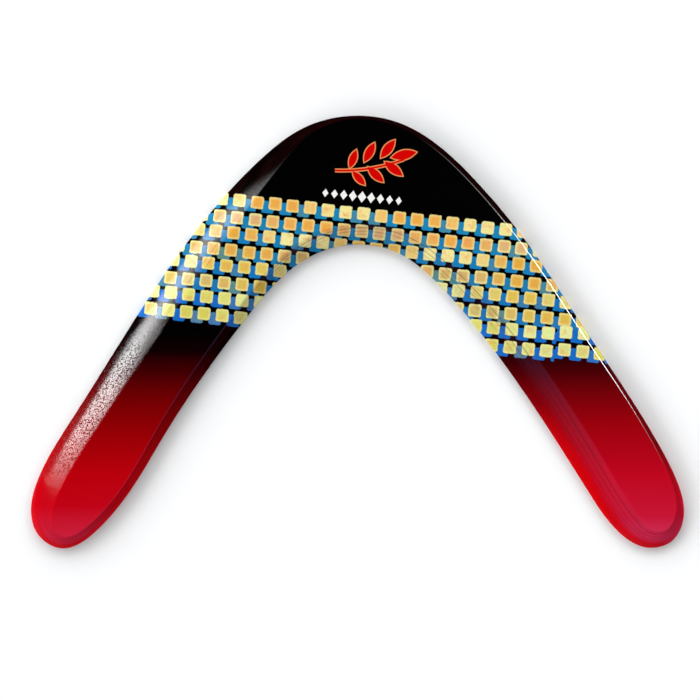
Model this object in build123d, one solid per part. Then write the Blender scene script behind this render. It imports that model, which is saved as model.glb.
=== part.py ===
from build123d import *
import os

# A two-armed returning boomerang cut from ten-ply birch board, millimetres.
# X runs along the span, Y from the arm tips to the elbow and Z from the flat
# underside up to the decorated face. The origin is the middle of the underside.

# The board: thin birch veneers, pressed with a sheet of glue film in every joint.
VENEERS = 10
VENEER = 0.45
GLUE_FILM = 0.06
RIM_VENEERS = 2  # the bottom veneers that keep the whole outline, under the bevel

# The lacquer: a coat on the underside, and one that runs over the face and down the rim.
UNDERSIDE_COAT = 0.08
FACE_COAT = 0.12

# The bevel rounds over at the rim and flattens towards a crease at the face: its
# inset grows as this power of the height, both as shares of the bevel's own.
BEVEL_POWER = 1.6

# Stations around the outline, clockwise from the top of the elbow: x, y and the
# bevel's width there. Each arm has a wide bevel on its trailing edge and a narrow,
# rounder one on its leading edge, and they change over at the elbow and the tips.
ELBOW_OUTSIDE = [(-1.0, 106.0, 2.0), (17.5, 103.5, 2.2)]
RIGHT_LEADING_EDGE = [(58.5, 73.5, 2.8), (84.0, 42.5, 2.6), (109.0, 5.0, 2.4), (149.5, -58.5, 2.6)]
RIGHT_TIP = [
    (157.5, -75.5, 3.2),
    (160.0, -88.0, 4.4),
    (154.0, -102.5, 7.0),
    (141.0, -105.5, 9.6),
    (128.5, -98.5, 12.0),
]
RIGHT_TRAILING_EDGE = [(113.0, -78.0, 13.6), (51.5, 10.5, 13.6)]
ELBOW_INSIDE = [(34.5, 28.5, 12.0), (19.5, 39.0, 10.8), (-16.5, 40.0, 8.8), (-33.5, 30.0, 7.2)]
LEFT_LEADING_EDGE = [(-54.5, 7.0, 5.8), (-95.0, -51.0, 4.4)]
LEFT_TIP = [
    (-127.0, -96.5, 4.4),
    (-145.0, -106.0, 6.2),
    (-156.0, -100.0, 8.6),
    (-160.0, -88.5, 11.0),
    (-156.5, -72.0, 12.8),
]
LEFT_TRAILING_EDGE = [(-139.5, -42.0, 13.4), (-46.5, 85.5, 10.0)]
LEFT_SHOULDER = [(-26.5, 100.0, 5.0)]

SAMPLES = 180  # points taken along the outline for each inset copy of it

# The stations' third number rides along as the height of one closed 3-D curve.
outline = Spline(
    ELBOW_OUTSIDE
    + RIGHT_LEADING_EDGE
    + RIGHT_TIP
    + RIGHT_TRAILING_EDGE
    + ELBOW_INSIDE
    + LEFT_LEADING_EDGE
    + LEFT_TIP
    + LEFT_TRAILING_EDGE
    + LEFT_SHOULDER,
    periodic=True,
)

# Heights within the board, measured from its underside.
pitch = VENEER + GLUE_FILM
rim_height = RIM_VENEERS * pitch - GLUE_FILM
board_height = VENEERS * pitch - GLUE_FILM


def inset_share(height):
    """The share of the bevel's width that the board has lost at this height."""
    share = max(0.0, height - rim_height) / (board_height - rim_height)
    return share**BEVEL_POWER


def contour(height, share, skin=0.0):
    """The outline moved in by a share of the bevel's width and by the coat on it."""
    points = []
    for i in range(SAMPLES):
        station = outline.position_at(i / SAMPLES)
        along = outline.tangent_at(i / SAMPLES)
        inward = Vector(along.Y, -along.X).normalized()
        inset = share * station.Z + skin
        points.append(Vector(station.X, station.Y, height) + inward * inset)
    return Wire([Edge.make_spline(points, periodic=True)])


def board_contour(height):
    """The board's own edge at a height above its underside."""
    return contour(UNDERSIDE_COAT + height, inset_share(height), FACE_COAT)


def layer(bottom, thickness):
    """One sheet of the board between two heights, with its edge sanded to the bevel."""
    return Solid.make_loft([board_contour(bottom), board_contour(bottom + thickness)], ruled=True)


def sheet_heights():
    """Where the bevel's facets start and end: both faces of every sheet above the rim."""
    heights = [rim_height]
    for number in range(RIM_VENEERS, VENEERS):
        heights += [number * pitch, number * pitch + VENEER]
    return heights


def underside_lacquer():
    """A flat coat over the whole underside, out to the rim."""
    return Solid.extrude(Face(contour(0, 0)), Vector(0, 0, UNDERSIDE_COAT))


def face_lacquer():
    """A shell over the face, the bevels and the rim, down to the coat below."""
    heights = sheet_heights()
    outside = [contour(UNDERSIDE_COAT, 0)]
    outside += [contour(UNDERSIDE_COAT + FACE_COAT + z, inset_share(z)) for z in heights]
    board = [board_contour(0)] + [board_contour(z) for z in heights]
    return Solid.make_loft(outside, ruled=True) - Solid.make_loft(board, ruled=True)


def save(node, shape):
    export_step(shape, f"parts/{node}.step")


os.makedirs("parts", exist_ok=True)
save("underside_lacquer", underside_lacquer())
for number in range(VENEERS):
    save(f"birch_veneer_{number + 1:02d}", layer(number * pitch, VENEER))
for number in range(VENEERS - 1):
    save(f"glue_film_{number + 1:02d}", layer(number * pitch + VENEER, GLUE_FILM))
save("face_lacquer", face_lacquer())
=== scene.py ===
import math

import bmesh
import bpy
import numpy as np
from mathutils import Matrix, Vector


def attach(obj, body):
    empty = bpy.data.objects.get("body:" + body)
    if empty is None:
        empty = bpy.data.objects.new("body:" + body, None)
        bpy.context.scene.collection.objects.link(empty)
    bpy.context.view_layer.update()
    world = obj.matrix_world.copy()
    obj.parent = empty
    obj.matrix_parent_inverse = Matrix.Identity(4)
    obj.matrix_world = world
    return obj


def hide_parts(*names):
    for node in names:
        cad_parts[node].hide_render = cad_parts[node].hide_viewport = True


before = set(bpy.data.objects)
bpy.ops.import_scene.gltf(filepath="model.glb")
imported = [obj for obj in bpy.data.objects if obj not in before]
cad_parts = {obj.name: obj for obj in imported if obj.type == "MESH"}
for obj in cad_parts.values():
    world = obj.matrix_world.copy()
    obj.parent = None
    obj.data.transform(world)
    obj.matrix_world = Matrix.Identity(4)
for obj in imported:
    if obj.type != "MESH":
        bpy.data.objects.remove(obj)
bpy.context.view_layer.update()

# ---- Birch veneers ----------------------------------------------------------------------
# Ten sheets of rotary-cut birch, each 0.45 mm thick, laid with their grain turned from one
# to the next and pressed into a board. The lacquer hides them all; they keep the CAD shapes.

VENEERS = 10
VENEER = 0.45
GLUE_FILM = 0.06
SHEET_PITCH = VENEER + GLUE_FILM


class Reading:
    """One socket of a finish. Arithmetic on it adds Math nodes."""

    def __init__(self, finish, socket):
        self.finish = finish
        self.socket = socket

    def math(self, operation, *values, clamp=False):
        settings = {"operation": operation, "use_clamp": clamp}
        return self.finish.node("Math", settings, dict(enumerate(values)))

    def __add__(self, other):
        return self.math("ADD", self, other)

    def __sub__(self, other):
        return self.math("SUBTRACT", self, other)

    def __rsub__(self, other):
        return self.math("SUBTRACT", other, self)

    def __mul__(self, other):
        return self.math("MULTIPLY", self, other)

    def __truediv__(self, other):
        return self.math("DIVIDE", self, other)

    def __pow__(self, other):
        return self.math("POWER", self, other)

    def __lt__(self, other):
        return self.math("LESS_THAN", self, other)

    def __gt__(self, other):
        return self.math("GREATER_THAN", self, other)

    def __abs__(self):
        return self.math("ABSOLUTE", self)

    __radd__ = __add__
    __rmul__ = __mul__

    def floor(self):
        return self.math("FLOOR", self)

    def at_least(self, other):
        return self.math("MAXIMUM", self, other)

    def at_most(self, other):
        return self.math("MINIMUM", self, other)

    def sine(self):
        return self.math("SINE", self)

    def held(self):
        """The value kept between 0 and 1."""
        return self.math("ADD", self, 0.0, clamp=True)


class Bench:
    """The nodes of a material, lamp or world, cleared for new ones."""

    def __init__(self, owner):
        owner.use_nodes = True
        self.tree = owner.node_tree
        self.tree.nodes.clear()

    def node(self, kind, settings=None, inputs=None, output=0):
        """Any node: its settings first, then the numbers or readings of its sockets."""
        node = self.tree.nodes.new("ShaderNode" + kind)
        for name, value in (settings or {}).items():
            if name == "stops":
                steps = node.color_ramp.elements
                for position, colour in value[1:-1]:
                    steps.new(position).color = colour
                steps[0].position, steps[0].color = value[0]
                steps[-1].position, steps[-1].color = value[-1]
            else:
                setattr(node, name, value)
        for name, value in (inputs or {}).items():
            if isinstance(value, Reading):
                self.tree.links.new(value.socket, node.inputs[name])
            else:
                node.inputs[name].default_value = value
        return Reading(self, node.outputs[output]) if node.outputs else None


class Finish(Bench):
    """A material made of nodes, with its place on the object in millimetres."""

    def __init__(self, name):
        self.material = bpy.data.materials.new(name)
        super().__init__(self.material)
        place = self.node("TexCoord", output="Object")
        self.place = self.node(
            "VectorMath", {"operation": "SCALE"}, {0: place, "Scale": 1000.0}
        )
        self.x, self.y, self.z = (
            self.node("SeparateXYZ", {}, {0: self.place}, axis) for axis in "XYZ"
        )

    def at(self, x, y, z=0.0):
        return self.node("CombineXYZ", {}, {"X": x, "Y": y, "Z": z})

    def noise(self, place, scale, detail=2.0, roughness=0.5):
        inputs = {"Vector": place, "Scale": scale, "Detail": detail, "Roughness": roughness}
        return self.node("TexNoise", {}, inputs)

    def mix(self, share, under, over):
        return self.node("Mix", {"data_type": "RGBA"}, {0: share, 6: under, 7: over}, 2)

    def bump(self, height, distance, strength=1.0):
        inputs = {"Height": height, "Distance": distance, "Strength": strength}
        return self.node("Bump", {}, inputs)

    def surface(self, inputs):
        shader = self.node("BsdfPrincipled", {}, inputs)
        self.node("OutputMaterial", {}, {"Surface": shader})
        return self.material


def birch(name, along, across):
    """Sanded birch with its grain along one axis: pale, with fine pores and a soft figure."""
    finish = Finish(name)
    run, side = getattr(finish, along), getattr(finish, across)
    figure = finish.noise(finish.at(run * 0.012, side * 0.09, finish.z * 0.3), 1.0, 3.0)
    streaks = finish.noise(finish.at(run * 0.06, side * 1.1, finish.z), 1.0, 4.0, 0.6)
    pores = finish.noise(finish.at(run * 0.3, side * 5.0, finish.z * 5.0), 1.0, 2.0, 0.7)
    wood = finish.mix(figure, (0.60, 0.43, 0.25, 1), (0.78, 0.63, 0.43, 1))
    wood = finish.mix((streaks - 0.45) * 1.6, wood, (0.50, 0.33, 0.18, 1))
    wood = finish.mix(((0.40 - pores) * 4.0).held(), wood, (0.33, 0.20, 0.10, 1))
    inputs = {
        "Base Color": wood,
        "Roughness": 0.55 + streaks * 0.2,
        "Normal": finish.bump(streaks * 0.5 + pores, 0.00003),
    }
    return finish.surface(inputs)


long_grain = birch("birch long grain", "x", "y")
cross_grain = birch("birch cross grain", "y", "x")

for number in range(1, VENEERS + 1):
    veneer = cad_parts[f"birch_veneer_{number:02d}"]
    veneer.data.materials.clear()
    veneer.data.materials.append(cross_grain if number in (2, 4, 7, 9) else long_grain)

# ---- Glue films -------------------------------------------------------------------------
# Sheets of brown phenolic film, cured in the press between each two veneers. They also keep
# the CAD shapes, and show only as the fine lines that the lacquer follows on the bevels.

resin = Finish("phenolic glue film")
soak = resin.noise(resin.place, 0.6, 4.0, 0.6)
phenolic = resin.surface(
    {
        "Base Color": resin.mix(soak, (0.08, 0.032, 0.012, 1), (0.22, 0.10, 0.045, 1)),
        "Roughness": 0.3 + soak * 0.3,
        "Normal": resin.bump(soak, 0.00001),
    }
)
for number in range(1, VENEERS):
    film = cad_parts[f"glue_film_{number:02d}"]
    film.data.materials.clear()
    film.data.materials.append(phenolic)

# ---- Underside lacquer ------------------------------------------------------------------
# A flat sprayed coat over the whole underside, black and fading to deep red at the tips. It
# runs out to the rim, whose lower edge is eased with fine paper before the coat goes on.

UNDERSIDE_COAT = 0.08
EASING = 0.3
POINTS = 600  # around the outline

# The outline, clockwise from the top of the elbow: x, y and the bevel's width there.
STATIONS = [
    # the elbow's outside and the right arm's leading edge
    (-1, 106, 2.0), (17.5, 103.5, 2.2), (58.5, 73.5, 2.8), (84, 42.5, 2.6), (109, 5, 2.4),
    (149.5, -58.5, 2.6),
    # the right tip
    (157.5, -75.5, 3.2), (160, -88, 4.4), (154, -102.5, 7.0), (141, -105.5, 9.6),
    (128.5, -98.5, 12.0),
    # the right arm's trailing edge and the elbow's inside
    (113, -78, 13.6), (51.5, 10.5, 13.6), (34.5, 28.5, 12.0), (19.5, 39, 10.8),
    (-16.5, 40, 8.8), (-33.5, 30, 7.2),
    # the left arm's leading edge
    (-54.5, 7, 5.8), (-95, -51, 4.4),
    # the left tip
    (-127, -96.5, 4.4), (-145, -106, 6.2), (-156, -100, 8.6), (-160, -88.5, 11.0),
    (-156.5, -72, 12.8),
    # the left arm's trailing edge and its shoulder
    (-139.5, -42, 13.4), (-46.5, 85.5, 10.0), (-26.5, 100, 5.0),
]  # fmt: skip


def smooth_outline():
    """Points, inward directions and bevel widths around a closed cubic through the stations."""
    knots = np.array(STATIONS, float)
    count = len(knots)
    chord = np.linalg.norm(np.roll(knots, -1, 0) - knots, axis=1)
    before = np.roll(chord, 1)
    rise = (np.roll(knots, -1, 0) - knots) / chord[:, None]
    matrix = np.zeros((count, count))
    for i in range(count):
        matrix[i, i - 1] += before[i]
        matrix[i, i] += 2 * (before[i] + chord[i])
        matrix[i, (i + 1) % count] += chord[i]
    curving = np.linalg.solve(matrix, 6 * (rise - np.roll(rise, 1, 0)))
    line = []
    for i in range(count):
        j = (i + 1) % count
        for t in np.arange(64)[:, None] / 64 * chord[i]:
            s = chord[i] - t
            line.append(
                (curving[i] * s**3 + curving[j] * t**3) / (6 * chord[i])
                + (knots[i] / chord[i] - curving[i] * chord[i] / 6) * s
                + (knots[j] / chord[i] - curving[j] * chord[i] / 6) * t
            )
    line = np.array(line + line[:1])
    run = np.concatenate([[0], np.cumsum(np.linalg.norm(np.diff(line, axis=0), axis=1))])
    places = np.arange(POINTS) / POINTS * run[-1]
    outline = np.stack([np.interp(places, run, line[:, k]) for k in range(3)], axis=1)
    along = np.roll(outline, -1, 0) - np.roll(outline, 1, 0)
    inward = np.stack([along[:, 1], -along[:, 0]], axis=1)
    inward /= np.linalg.norm(inward, axis=1)[:, None]
    return outline[:, :2], inward, outline[:, 2]


outline, inward, bevel_width = smooth_outline()


def eased(height):
    """How far the rim's lower edge is rounded away at a height above the underside."""
    drop = np.clip(EASING - height, 0, None)
    return EASING - math.sqrt(EASING**2 - drop**2)


def ring(inset, height):
    """Points in metres around the board, moved in from the outline, at a height."""
    flat = outline + inward * np.broadcast_to(inset, POINTS)[:, None]
    heights = np.broadcast_to(height, POINTS)[:, None]
    return np.concatenate([flat, heights], axis=1) / 1000


def coat(name, rings):
    """A closed coat of lacquer: one flat face, drawn out ring by ring to the last."""
    bpy.ops.object.select_all(action="DESELECT")
    bpy.ops.mesh.primitive_circle_add(vertices=POINTS, radius=0.1, fill_type="NGON")
    piece = bpy.context.object
    piece.name = piece.data.name = name
    piece.data.attributes.new("station", "INT", "POINT")
    for i, station in enumerate(piece.data.attributes["station"].data):
        station.value = i
    bpy.ops.object.mode_set(mode="EDIT")
    bpy.ops.mesh.select_mode(type="FACE")
    bpy.ops.mesh.select_all(action="SELECT")
    for number, points in enumerate(rings):
        if number:
            bpy.ops.mesh.extrude_region_move()
        sheet = bmesh.from_edit_mesh(piece.data)
        station = sheet.verts.layers.int["station"]
        for vertex in sheet.verts:
            if vertex.select:
                vertex.co = points[vertex[station]]
        bmesh.update_edit_mesh(piece.data)
    bpy.ops.mesh.select_all(action="SELECT")
    bpy.ops.mesh.normals_make_consistent(inside=False)
    bpy.ops.object.mode_set(mode="OBJECT")
    bpy.ops.object.shade_smooth_by_angle(angle=math.radians(40))
    piece.data.attributes.remove(piece.data.attributes["station"])
    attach(piece, "root")
    return piece


steps = [0.0, 0.01, 0.03, 0.055, UNDERSIDE_COAT]
underside = coat(
    "underside_lacquer_coat",
    [ring(EASING + 0.4, 0.0)] + [ring(eased(step), step) for step in steps],
)
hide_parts("underside_lacquer")

LIGHT = 1.1  # what the studio shows of a pure white card


def paint(red, green, blue):
    """A paint's colour from the shade it shows, each part from 0 to 255."""
    shade = np.array([red, green, blue]) / 255
    straight = np.where(shade < 0.04045, shade / 12.92, ((shade + 0.055) / 1.055) ** 2.4)
    return (*(straight / LIGHT), 1.0)


def fade(finish, shades):
    """Sprayed paint that changes down the arms, with the face's pink tips a painted reflection:
    (y, red, green, blue) from the tips up.
    """
    low, high = shades[0][0], shades[-1][0]
    stops = [((y - low) / (high - low), paint(*shade)) for y, *shade in shades]
    along = (finish.y - low) / (high - low)
    return finish.node("ValToRGB", {"stops": stops}, {0: along.held()})


spray = Finish("satin underside lacquer")
overspray = spray.noise(spray.place, 0.12, 4.0, 0.6)
speckle = spray.noise(spray.place, 3.5, 2.0, 0.6)
grain = spray.noise(spray.at(spray.x * 0.1, spray.y * 1.6), 1.0, 3.0, 0.6)
ground = fade(spray, [(-106, 150, 4, 12), (-70, 118, 3, 9), (-40, 48, 3, 6), (-12, 9, 8, 8)])
ground = spray.mix(((speckle - 0.62) * 4).held() * 0.25, ground, paint(90, 30, 32))
satin = spray.surface(
    {
        "Base Color": spray.mix(overspray * 0.25, ground, paint(20, 6, 8)),
        "Roughness": 0.26 + overspray * 0.12 + speckle * 0.05,
        "Normal": spray.bump(grain * 0.6 + speckle * 0.4, 0.00004, 0.6),
        "IOR": 1.48,
    }
)
underside.data.materials.append(satin)

# ---- Face lacquer -----------------------------------------------------------------------
# The gloss coat over the face, the bevels and the rim. The board is sprayed black and fades
# to red, a band of coloured squares is printed across it, and clear lacquer covers it all.

FACE_COAT = 0.12
BEVEL_POWER = 1.6  # the bevel is steep at the rim and flattens towards its crease
SINKING = 0.012  # how far the lacquer sinks along the right arm's glue lines

rim_height = 2 * SHEET_PITCH - GLUE_FILM
board_height = VENEERS * SHEET_PITCH - GLUE_FILM
bevel_height = board_height - rim_height
glue_lines = np.arange(3, VENEERS) * SHEET_PITCH - GLUE_FILM / 2


def bevel_inset(height):
    """How far the board's edge has moved in at a height within the board."""
    return bevel_width * (np.clip(height - rim_height, 0, None) / bevel_height) ** BEVEL_POWER


def board_ring(height):
    """The inside of the coat, on the board itself."""
    return ring(FACE_COAT + bevel_inset(height), UNDERSIDE_COAT + height)


def bevel_ring(height):
    """The outside of the coat on the bevel, sunk a little over each glue line."""
    share = np.clip(height - rim_height, 0, None) / bevel_height
    slope = bevel_width * BEVEL_POWER / bevel_height * share ** (BEVEL_POWER - 1)
    near = np.abs(np.broadcast_to(height, POINTS)[:, None] - glue_lines).min(axis=1)
    sinking = np.interp(outline[:, 0], (-60, 60), (0.1, 1.0)) * SINKING
    sunk = sinking * np.exp(-((near / 0.05) ** 2)) / np.sqrt(1 + slope**2)
    inset = bevel_width * share**BEVEL_POWER + sunk
    return ring(inset, UNDERSIDE_COAT + FACE_COAT + height - sunk * slope)


def crease_rings():
    """The rounded crease, from the bevel over to the flat face."""
    reach = 0.35 + 0.035 * bevel_width
    slope = bevel_width * BEVEL_POWER / bevel_height
    fall = reach / np.sqrt(1 + slope**2)
    start = board_height - fall
    top = UNDERSIDE_COAT + FACE_COAT + board_height
    corner = ring(bevel_width, top)
    first = bevel_ring(start)
    last = ring(bevel_width + reach, top)
    lowest = 9 * SHEET_PITCH + 0.05
    rings = [bevel_ring(lowest + (start - lowest) * t) for t in (0.0, 0.33, 0.67, 1.0)]
    for t in (0.15, 0.3, 0.45, 0.6, 0.75, 0.9, 1.0):
        rings.append(first * (1 - t) ** 2 + corner * 2 * t * (1 - t) + last * t**2)
    rings.append(ring(bevel_width + reach + 0.4, top))
    return rings


sheet_faces = [rim_height]
for number in range(2, VENEERS):
    sheet_faces += [number * SHEET_PITCH, number * SHEET_PITCH + VENEER]
bevel_steps = [rim_height + step for step in (0, 0.06, 0.14, 0.24, 0.34)]
for line in glue_lines:
    around_line = (-0.10, -0.06, -0.03, 0, 0.03, 0.06, 0.10, 0.20, 0.31)
    bevel_steps += [line + step for step in around_line]
bevel_steps = [step for step in bevel_steps if step < 9 * SHEET_PITCH + 0.03]

rings = [board_ring(height) for height in reversed(sheet_faces)] + [board_ring(0.0)]
rings += [ring(eased(z), z) for z in (UNDERSIDE_COAT, 0.12, 0.17, 0.23, EASING)]
rings += [bevel_ring(height) for height in bevel_steps]
rings += crease_rings()
face = coat("face_lacquer_coat", rings)
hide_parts("face_lacquer")

gloss = Finish("printed gloss lacquer")

# The ground: black over the elbow, then red from below the band, and pinker at the tips as a
# painted reflection.
left_fade_with_tip_reflection = fade(
    gloss,
    [
        (-100, 203, 31, 58), (-85, 192, 2, 20), (-70, 186, 0, 11), (-45, 140, 0, 3),
        (-20, 64, 0, 2), (-10, 14, 0, 1), (0, 1, 1, 1),
    ],
)  # fmt: skip
# the right tip's pinker stops are a painted reflection too
right_fade_with_tip_reflection = fade(
    gloss,
    [
        (-100, 205, 41, 78), (-90, 198, 13, 44), (-70, 191, 3, 27), (-45, 155, 1, 12),
        (-20, 73, 0, 4), (-10, 14, 0, 1), (0, 1, 1, 1),
    ],
)  # fmt: skip
colour = gloss.mix(gloss.x < 0, right_fade_with_tip_reflection, left_fade_with_tip_reflection)

# The band: eight rows that fall to the right, each a run of squares over smaller blue ones.
ROW_TURN = math.radians(6.2)
SQUARE = 6.1
CORNER = 0.95
BLUE = 5.9
BLUE_SHIFT = (-3.3, -1.8)
COLOUR_WAVE = 70  # the squares turn from warm to pale and back along this length
SEAM = 96.9  # where the printed pattern starts again, with its last two rows a step higher
SEAM_STEP = 1.6
u = gloss.x * math.cos(ROW_TURN) - gloss.y * math.sin(ROW_TURN)
v = gloss.x * math.sin(ROW_TURN) + gloss.y * math.cos(ROW_TURN)
brush = gloss.noise(gloss.place, 1.0, 3.0, 0.65)
wander = gloss.noise(gloss.at(u, v, 9.0), 0.5, 2.0)
bloom = gloss.noise(gloss.at(u, v, 30.0), 0.35, 2.0)
ragged_u = u + (wander - 0.5) * 0.9
ragged_v = v + (brush - 0.5) * 0.8


def square(along, across, side, soft=0.16):
    """Coverage of a square with rounded corners, from the distances to its middle."""
    over = gloss.at(
        (abs(along) - (side / 2 - CORNER)).at_least(0.0),
        (abs(across) - (side / 2 - CORNER)).at_least(0.0),
    )
    length = gloss.node("VectorMath", {"operation": "LENGTH"}, {0: over}, "Value")
    return ((CORNER - length) / (2 * soft) + 0.5).held()


def chance(cell, seed):
    """A number between 0 and 1 that is different for each square."""
    return gloss.node("TexWhiteNoise", {"noise_dimensions": "2D"}, {0: gloss.at(cell, seed)})


# each row: its height across the band, the place of its first square, its squares' warm and
# pale shades, where the warm ones lie, the blue behind them and how much of it turns green
ROWS = [
    (57.6, -3.2, (241, 170, 68), (248, 230, 152), 23, (30, 134, 172), 0.3),
    (49.0, -3.3, (241, 168, 70), (222, 182, 130), 40, (32, 130, 168), 0.6),
    (41.5, -4.1, (230, 168, 60), (248, 234, 160), 5, (26, 128, 174), 0.3),
    (32.9, -4.3, (230, 170, 68), (214, 178, 112), 9, (32, 126, 164), 0.7),
    (25.4, -5.7, (226, 192, 78), (222, 220, 146), 6, (24, 118, 176), 0.3),
    (16.8, -5.7, (226, 186, 74), (210, 184, 110), 25, (32, 120, 170), 0.7),
    (9.3, -4.6, (220, 216, 108), (230, 236, 158), -10, (24, 108, 184), 0.3),
    (0.7, -4.7, (214, 206, 92), (220, 222, 140), -10, (26, 108, 186), 0.6),
]
for number, (height, first, warm, pale, crest, blue, greening) in enumerate(ROWS):
    pitch = 8.71 + 0.018 * number
    rise = (ragged_u > SEAM) * (SEAM_STEP if number > 5 else 0.0)
    place_u = ragged_u - first
    place_v = ragged_v - height - rise

    behind = (place_u - BLUE_SHIFT[0]) / pitch + 0.5
    cell = behind.floor()
    mask = square((behind - cell - 0.5) * pitch, place_v - BLUE_SHIFT[1], BLUE)
    green = ((chance(cell, number) - 0.7) * 6).held() * greening
    blues = gloss.mix(green, paint(*blue), paint(120, 150, 84))
    deeper = paint(blue[0], blue[1] - 8, blue[2] + 34)
    blues = gloss.mix(((brush - 0.42) * 2.5).held(), blues, deeper)
    colour = gloss.mix(mask, colour, blues)

    front = place_u / pitch + 0.5
    cell = front.floor()
    along = (front - cell - 0.5) * pitch + (chance(cell, number + 10) - 0.5) * 0.35
    across = place_v + (chance(cell, number + 20) - 0.5) * 0.45
    turn = (cell * pitch + (first - crest)) * (math.tau / COLOUR_WAVE)
    wave = (turn + math.pi / 2).sine() * 0.62
    warmth = (wave + chance(cell, number + 30) * 0.4 + 0.32).held()
    middle = gloss.mix(warmth, paint(*pale), paint(*warm))
    middle = gloss.mix(((bloom - 0.5) * 4).held() * 0.7, middle, paint(240, 152, 92))
    middle = gloss.mix(((0.5 - brush) * 3).held() * 0.6, middle, paint(206, 206, 96))
    edge = gloss.mix(warmth * 0.35, paint(240, 234, 158), paint(*warm))
    inside = square(along, across, SQUARE - 1.4, 0.6)
    mask = square(along, across, SQUARE)
    colour = gloss.mix(mask, colour, gloss.mix(inside, edge, middle))

# The mark at the elbow: a sprig of red leaves with an orange edge.
LEAVES = [
    # middle x, y, turn, half length, half width
    (22.6, 86.4, 12, 6.4, 2.3), (14.8, 89.3, 52, 5.6, 2.1), (17.6, 79.6, -38, 5.6, 2.1),
    (5.8, 87.6, 62, 5.4, 2.0), (8.8, 76.8, -44, 5.4, 2.0), (-2.2, 84.4, 70, 4.8, 1.8),
    (0.6, 75.0, -48, 4.6, 1.7),
]  # fmt: skip


def leaf(x, y, turn, half_length, half_width):
    """Coverage of a pointed leaf."""
    turn = math.radians(turn)
    p = (gloss.x - x) * math.cos(turn) + (gloss.y - y) * math.sin(turn)
    q = (gloss.y - y) * math.cos(turn) - (gloss.x - x) * math.sin(turn)
    inside = (1 - (p / half_length) ** 2.0) * half_width - abs(q)
    return (inside / 0.3 + 0.5).held()


def stem(half_width):
    """Coverage of the sprig's curved stem."""
    p = gloss.x - 6.0
    bow = p * p * 0.006 + p * 0.16 + 79.8
    within = (17.0 - abs(p)).at_most(half_width - abs(gloss.y - bow))
    return (within / 0.3 + 0.5).held()


edging, body = stem(0.95), stem(0.5)
for x, y, turn, half_length, half_width in LEAVES:
    edging = edging.at_least(leaf(x, y, turn, half_length + 0.7, half_width + 0.5))
    body = body.at_least(leaf(x, y, turn, half_length, half_width))
colour = gloss.mix(edging, colour, paint(236, 150, 92))
colour = gloss.mix(body, colour, paint(212, 4, 2))

# Under it, a row of white lozenges that get smaller away from the middle.
LOZENGE_PITCH = 4.5
p = (gloss.x - 2.2) * math.cos(ROW_TURN) - (gloss.y - 65.9) * math.sin(ROW_TURN)
q = (gloss.y - 65.9) * math.cos(ROW_TURN) + (gloss.x - 2.2) * math.sin(ROW_TURN)
place = (p / LOZENGE_PITCH + 0.5).floor()
size = 2.8 - abs(place) * 0.2
lozenge = size - abs(p - place * LOZENGE_PITCH) * 1.35 - abs(q)
lozenge = (lozenge / 0.25 + 0.5).held() * (abs(place) < 4.5)
colour = gloss.mix(lozenge, colour, paint(244, 242, 238))

# The bevels: redder at the right arm's trailing rim and round the tips, with painted shade
# darkening its leading edge, and with the sanded sheets showing through as glue lines and
# changing grain.
ACROSS = (0.817, 0.577)  # square to the right arm, towards its leading edge
in_board = gloss.z - (UNDERSIDE_COAT + FACE_COAT)
on_bevel = (in_board > rim_height) * (in_board < board_height - 0.06)
right_leading = (gloss.x - 40) * ACROSS[0] + (gloss.y - 60) * ACROSS[1]
left_trailing = gloss.y * ACROSS[1] - (gloss.x + 84) * ACROSS[0] + 4
left_trailing = left_trailing.held() * (gloss.x < -20)

red_end = ((-35 - gloss.y - (gloss.x < 0) * 38) / 30).held() * (0.4 - right_leading / 12).held()
red_rim = ((3.5 - in_board) / 0.9).held() * red_end * (in_board > 0.2)
colour = gloss.mix(red_rim * 0.85, colour, paint(207, 2, 5))
# painted shade: the right arm's leading bevel darkened to dark maroon between the band and the
# tip
leading_bevel_shade = ((gloss.y + 84) / 30).held() * ((-20 - gloss.y) / 12).held()
leading_bevel_shade = leading_bevel_shade * (right_leading / 4 - 2).held()
colour = gloss.mix(leading_bevel_shade * on_bevel * 0.75, colour, paint(84, 0, 6))

streaks = gloss.noise(gloss.at(gloss.x * 0.05, gloss.y * 0.05, gloss.z * 9), 1.0, 2.0, 0.7)
colour = gloss.mix(on_bevel * ((streaks - 0.5) * 1.4).held(), colour, paint(70, 20, 20))
sheet = (in_board / SHEET_PITCH).floor()
to_line = abs(in_board - sheet * SHEET_PITCH - (SHEET_PITCH - GLUE_FILM / 2))
glue_line = (1.2 - to_line / 0.1).held() * on_bevel * ((in_board - 2.6) / 2.0).held()
glue_line = glue_line * (1 - left_trailing * 0.7)
colour = gloss.mix(glue_line * (0.3 + wander * 0.5), colour, paint(70, 2, 12))

# The clear coat: a little dust and orange peel, and the wood's grain just showing through.
# The left arm's trailing bevel caught more dust as it dried, and is pitted halfway down, with
# painted shade in each pit.
peel = gloss.noise(gloss.place, 0.7, 2.0, 0.5)
dust = gloss.noise(gloss.place, 2.4, 2.0, 0.6)
grain = gloss.noise(gloss.at(gloss.x * 0.5 + gloss.y, gloss.x * 0.07 - gloss.y * 0.03), 1.1, 3.0)
dusted_and_shaded = ((6 - gloss.y) / 48).held() * ((gloss.y + 76) / 12).held() * left_trailing
dusted_and_shaded = dusted_and_shaded * (in_board > 1.4) * on_bevel
pits_and_pit_shade = ((gloss.noise(gloss.place, 1.3, 3.0, 0.8) - 0.53) * 12).held() * (dusted_and_shaded * 1.6).held()
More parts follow.
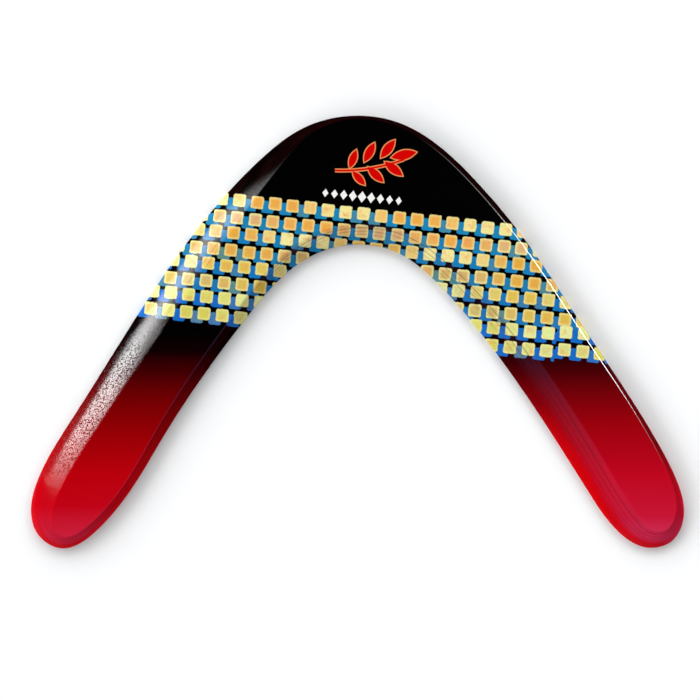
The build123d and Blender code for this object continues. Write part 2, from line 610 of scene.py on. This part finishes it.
# painted shade: the paint in each pit is darkened towards dark red
colour = gloss.mix(pits_and_pit_shade * 0.8, colour, gloss.mix(0.7, colour, paint(50, 2, 4)))
lacquer = gloss.surface(
    {
        "Base Color": colour,
        "Roughness": 0.05 + peel * 0.04 + dust * 0.04 + pits_and_pit_shade * 0.3,
        "Normal": gloss.bump(peel * 0.5 + dust * 0.45 + grain * 0.3 - pits_and_pit_shade * 0.9, 0.00003, 0.8),
        "IOR": 1.5,
    }
)
face.data.materials.append(lacquer)

# ---- Studio -----------------------------------------------------------------------------
# A white table in a pale tent that glows low down, most on the window's side, with the camera
# straight above. The tent is dark in the lacquer, and the lamps that the lacquer does mirror
# stand where only the bevels catch them.

bpy.ops.object.select_all(action="DESELECT")
bpy.ops.mesh.primitive_plane_add(size=6, location=(0, 0, 0))
table = bpy.context.object
table.name = "table"
table.location.z = -0.0001
table.visible_glossy = False
card = Finish("white table")
mottle = card.noise(card.place, 0.01, 2.0)
table.data.materials.append(
    card.surface(
        {
            "Base Color": card.mix(mottle, (0.90, 0.90, 0.90, 1), (0.91, 0.91, 0.91, 1)),
            "Roughness": 0.9,
            "Specular IOR Level": 0.0,
        }
    )
)


def lamp(name, place, aim, long, wide, radiance, tint=(1, 1, 1), edge=2.5):
    """A soft panel at a place, in metres, brightest in the middle and faded at its edges."""
    bpy.ops.object.light_add(type="AREA", location=place)
    light = bpy.context.object
    light.name = light.data.name = name
    light.rotation_euler = (light.location - Vector(aim)).to_track_quat("Z", "Y").to_euler()
    light.data.shape = "RECTANGLE"
    light.data.size, light.data.size_y = long, wide
    light.data.energy = radiance * math.pi * long * wide
    light.data.color = tint
    bench = Bench(light.data)
    across = bench.node("NewGeometry", output="Parametric")
    falls = [bench.node("SeparateXYZ", {}, {0: across}, axis) * 2 - 1 for axis in "XY"]
    fall = (1 - falls[0] * falls[0]) * (1 - falls[1] * falls[1])
    # the lacquer throws none of the lamp's light down on to the table
    first = bench.node("LightPath", output="Diffuse Depth") < 0.5
    glow = bench.node("Emission", {}, {"Strength": (fall * edge).held() * first})
    bench.node("OutputLight", {}, {"Surface": glow})
    return light


def around(azimuth, tilt, distance):
    """A place that far from the middle of the table, turned from +X and tilted from overhead."""
    azimuth, tilt = math.radians(azimuth), math.radians(tilt)
    level = math.sin(tilt) * distance
    return (math.cos(azimuth) * level, math.sin(azimuth) * level, math.cos(tilt) * distance)


middle = (0, 0, 0)
beyond_tips = (0.3, -0.55)
VIOLET = (0.6, 0.42, 1.0)
lamp("overhead", (0, 0, 2.2), middle, 1.6, 1.6, 1.2).visible_glossy = False
mirrored = [
    lamp("key upper", around(148.3, 33.2, 1.6), middle, 0.40, 0.28, 7.0, edge=1.6),
    lamp("key lower", around(164.0, 35.7, 1.6), middle, 0.33, 0.40, 7.6, edge=1.6),
    lamp("key centre", around(160.0, 36.2, 1.6), middle, 0.18, 0.34, 14.0),
    lamp("edge strip", around(28.3, 45, 1.5), middle, 0.34, 1.3, 40.0),
    lamp("edge glow", around(33, 45, 1.55), middle, 0.85, 1.3, 4.0),
    lamp("low panel", (*beyond_tips, 1.35), (*beyond_tips, 0), 1.3, 0.78, 0.46, VIOLET),
]
for light in mirrored:
    light.visible_diffuse = False

world = bpy.data.worlds.new("studio")
bpy.context.scene.world = world
world.cycles_visibility.glossy = False
studio = Bench(world)
is_seen = studio.node("LightPath", output="Is Camera Ray")
toward = studio.node("TexCoord", output="Generated")
east, north, up = (studio.node("SeparateXYZ", {}, {0: toward}, axis) for axis in "XYZ")
from_middle = (up - 0.30) / 0.22  # the walls glow most 17 degrees above the table
walls = ((1 - from_middle * from_middle) * 1.5).held()
window_side = 1 + (north * 0.79 - east * 0.62) * 0.85
tent = 0.06 + walls * window_side * 5.1
brightness = tent * (1 - is_seen) + is_seen * 0.96
sky = studio.node("Background", {}, {"Color": (0.98, 0.99, 1.0, 1), "Strength": brightness})
studio.node("OutputWorld", {}, {"Surface": sky})

bpy.ops.object.camera_add(location=(-0.003675, -0.00882, 0.954), rotation=(0, 0, 0))
camera = bpy.context.object
camera.data.lens = 100
camera.data.sensor_width = 36
camera.data.clip_end = 20
bpy.context.scene.camera = camera
bpy.context.scene.view_settings.view_transform = "Standard"
